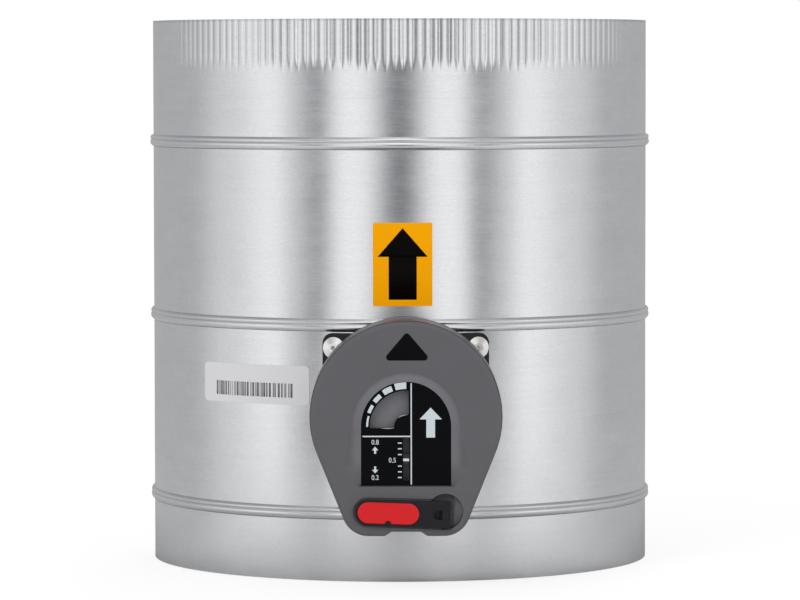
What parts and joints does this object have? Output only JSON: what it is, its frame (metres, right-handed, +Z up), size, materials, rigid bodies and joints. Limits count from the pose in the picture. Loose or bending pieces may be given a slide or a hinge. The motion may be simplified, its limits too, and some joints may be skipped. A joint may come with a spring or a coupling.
{
  "type": "round air damper",
  "caption": "Round galvanised air damper: beaded, crimped duct with a spring-closed cross blade and a grey regulator head with dial, pressure marker and folding crank.",
  "frame": {"origin": "centre of the duct's plain inlet end, on the duct's axis", "axes": "+Z up along the duct's axis, the way the air flows; the head is on the front, towards -Y; +X is to the right seen from the front"},
  "size_m": [0.3602, 0.4203, 0.3864],
  "materials": {
    "galvanised_sheet": "satin",
    "bright_aluminium": "turned",
    "zinc_steel": "satin",
    "spring_steel": "satin",
    "grey_plastic": "satin moulded",
    "dark_plastic": "matt moulded",
    "black_plastic": "satin moulded",
    "black_print": "printed film",
    "white_plastic": "satin moulded",
    "red_plastic": "satin",
    "nylon": "plain moulded",
    "rubber": "plain",
    "yellow_label": "printed paper",
    "white_label": "printed paper"
  },
  "bodies": {
    "duct": {"duct_shell": "galvanised_sheet", "arrow_label": "yellow_label", "plain_label": "white_label", "saddle": "black_plastic", "saddle_rivets": "bright_aluminium", "front_bush": "nylon", "back_bush": "nylon", "blade_stops": "galvanised_sheet", "rear_case": "grey_plastic", "case_screws": "zinc_steel", "front_cover": "grey_plastic", "display_panel": "black_print"},
    "blade": {"blade_shaft": "zinc_steel", "shaft_rings": "spring_steel", "upper_skin": "galvanised_sheet", "lower_skin": "galvanised_sheet", "blade_seal": "rubber", "blade_bolts": "zinc_steel", "blade_nuts": "zinc_steel", "position_dial": "grey_plastic", "spring_arbor": "nylon"},
    "drum": {"spring_drum": "dark_plastic", "clock_spring": "spring_steel"},
    "marker": {"marker_slider": "white_plastic"},
    "crank": {"crank_hub": "black_plastic", "crank_pinion": "nylon", "hinge_pin": "zinc_steel"},
    "arm": {"crank_arm": "black_plastic", "crank_badge": "red_plastic"}
  },
  "joints": [
    {"name": "blade_turn", "type": "hinge", "parent": "duct", "child": "blade", "pos_m": [0.0041, 0, 0.1109], "axis": [0, 1, 0], "range_deg": [0, 90], "stiffness_Nm_per_rad": 0.35, "springref_deg": -51.57, "deforming": ["clock_spring"]},
    {"name": "drum_turn", "type": "hinge", "parent": "duct", "child": "drum", "pos_m": [0.0041, 0, 0.1109], "axis": [0, 1, 0], "range_deg": [-120, 120]},
    {"name": "crank_turn", "type": "hinge", "parent": "duct", "child": "crank", "pos_m": [0.0305, 0, 0.0537], "axis": [0, 1, 0], "range_deg": [-720.1, 720.1]},
    {"name": "crank_unfold", "type": "hinge", "parent": "crank", "child": "arm", "pos_m": [0.0305, -0.2305, 0.0537], "axis": [0, 0, 1], "range_deg": [0, 90]},
    {"name": "marker_slide", "type": "slide", "parent": "duct", "child": "marker", "axis": [0, 0, 1], "range_m": [-0.01161, 0.01161]}
  ],
  "couplings": [
    {"joint": "crank_turn", "follows": "drum_turn", "ratio": -6},
    {"joint": "marker_slide", "follows": "drum_turn", "m_per_rad": 0.0055386}
  ]
}
